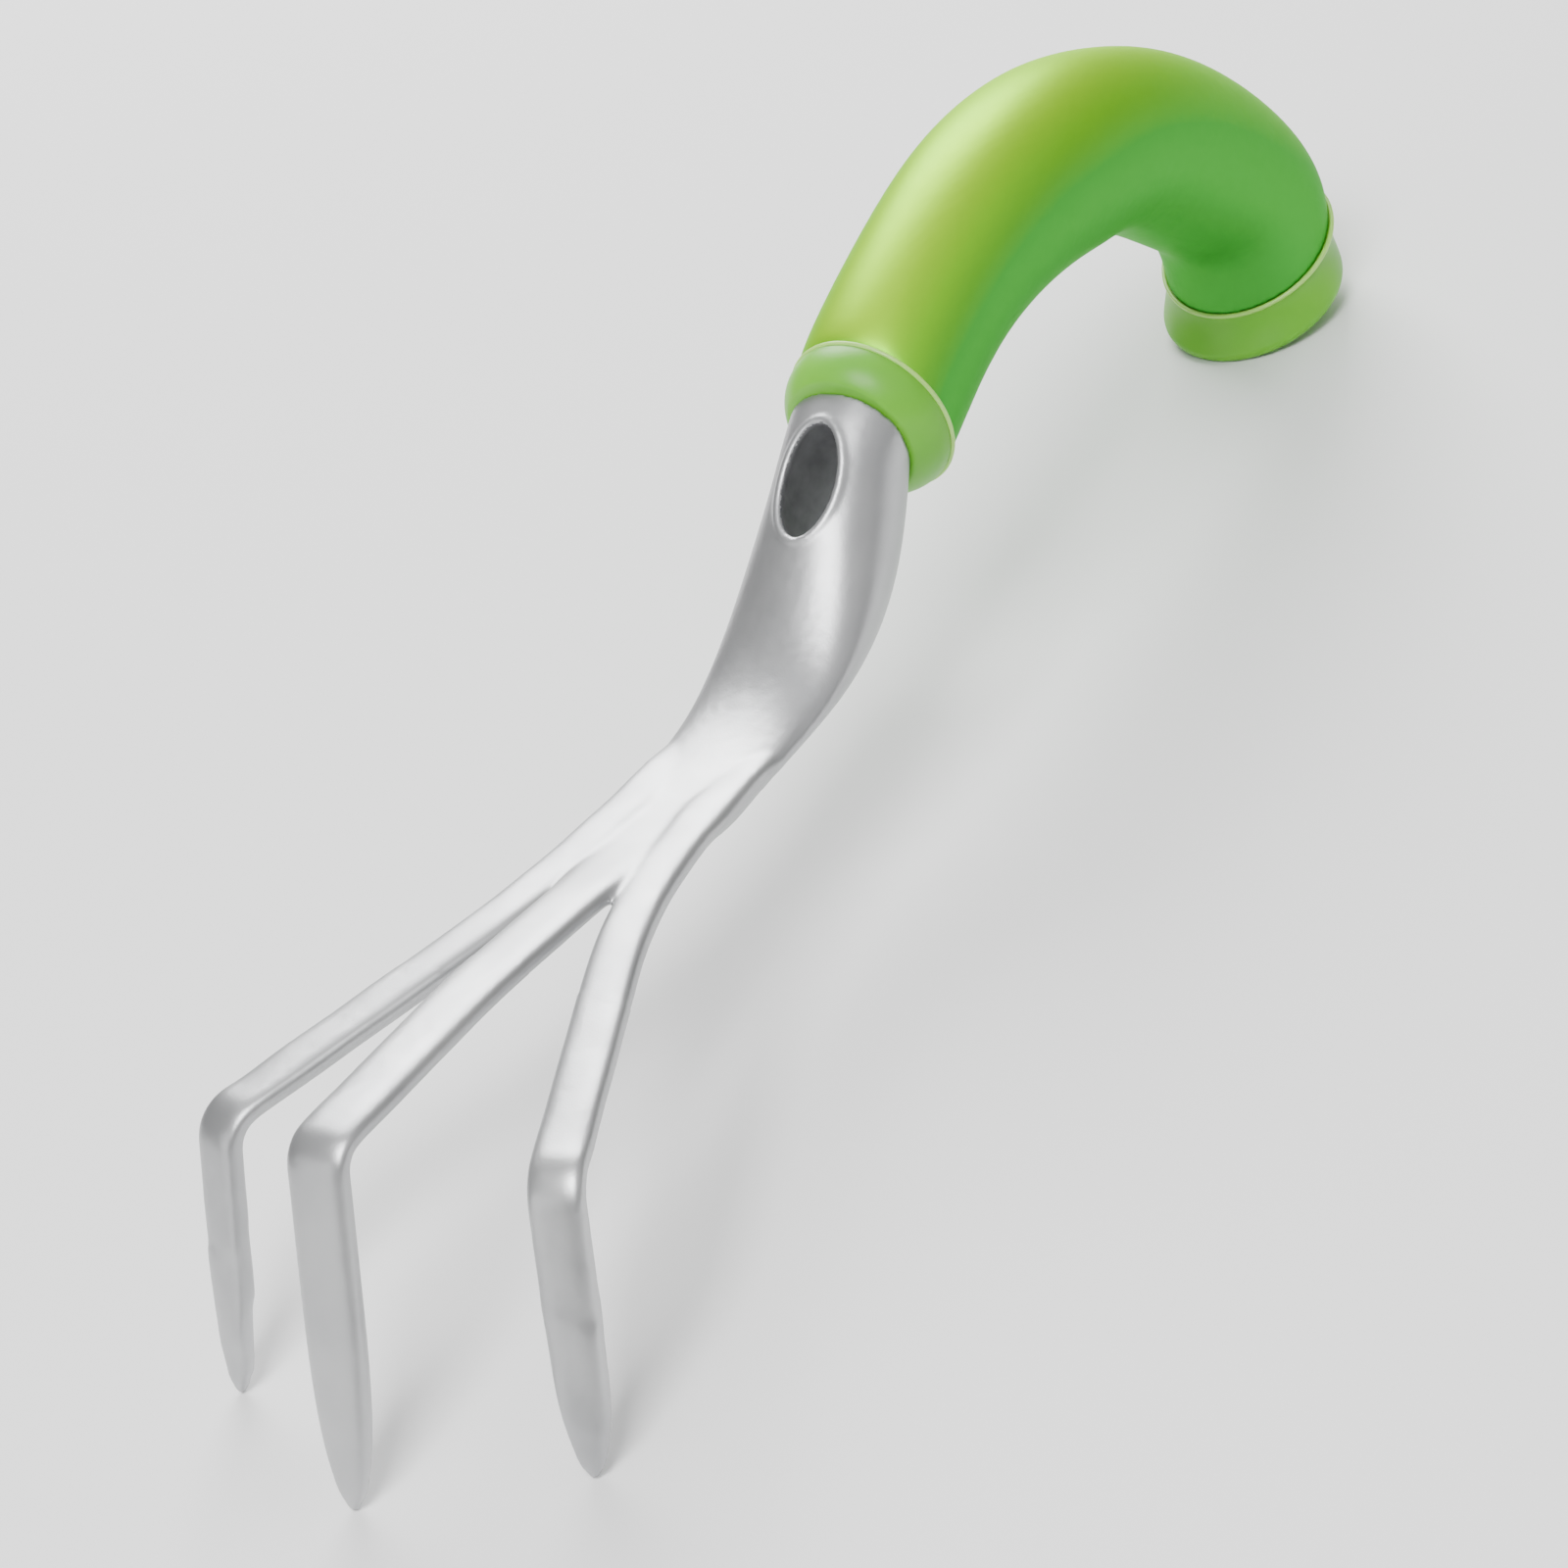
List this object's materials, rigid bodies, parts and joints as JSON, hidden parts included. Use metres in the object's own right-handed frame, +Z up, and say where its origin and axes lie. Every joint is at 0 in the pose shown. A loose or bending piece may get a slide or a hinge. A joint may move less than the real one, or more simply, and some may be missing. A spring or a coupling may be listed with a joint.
{
  "type": "hand cultivator",
  "caption": "Hand cultivator with a cast aluminium three-tine head, an oval hanging hole and an arched soft-covered handle that ends in a flared foot.",
  "frame": {"origin": "bottom centre of the whole tool, on the plane through the three tine tips and the end cap's lowest point", "axes": "+Z up, +Y back from the tines to the handle, +X across the tines; the tool is symmetric about X = 0"},
  "size_m": [0.0838, 0.3615, 0.0929],
  "materials": {
    "cast_aluminium": "satin, bead-blasted casting",
    "pin_steel": "ground",
    "core_plastic": "moulded, hidden",
    "grip_rubber": "pearly translucent soft rubber, satin",
    "trim_plastic": "translucent, soft gloss"
  },
  "bodies": {
    "root": {"tine_head": "cast_aluminium", "tang_pin": "pin_steel", "handle_core": "core_plastic", "grip_sleeve": "grip_rubber", "front_collar": "trim_plastic", "end_cap": "trim_plastic"}
  },
  "joints": []
}
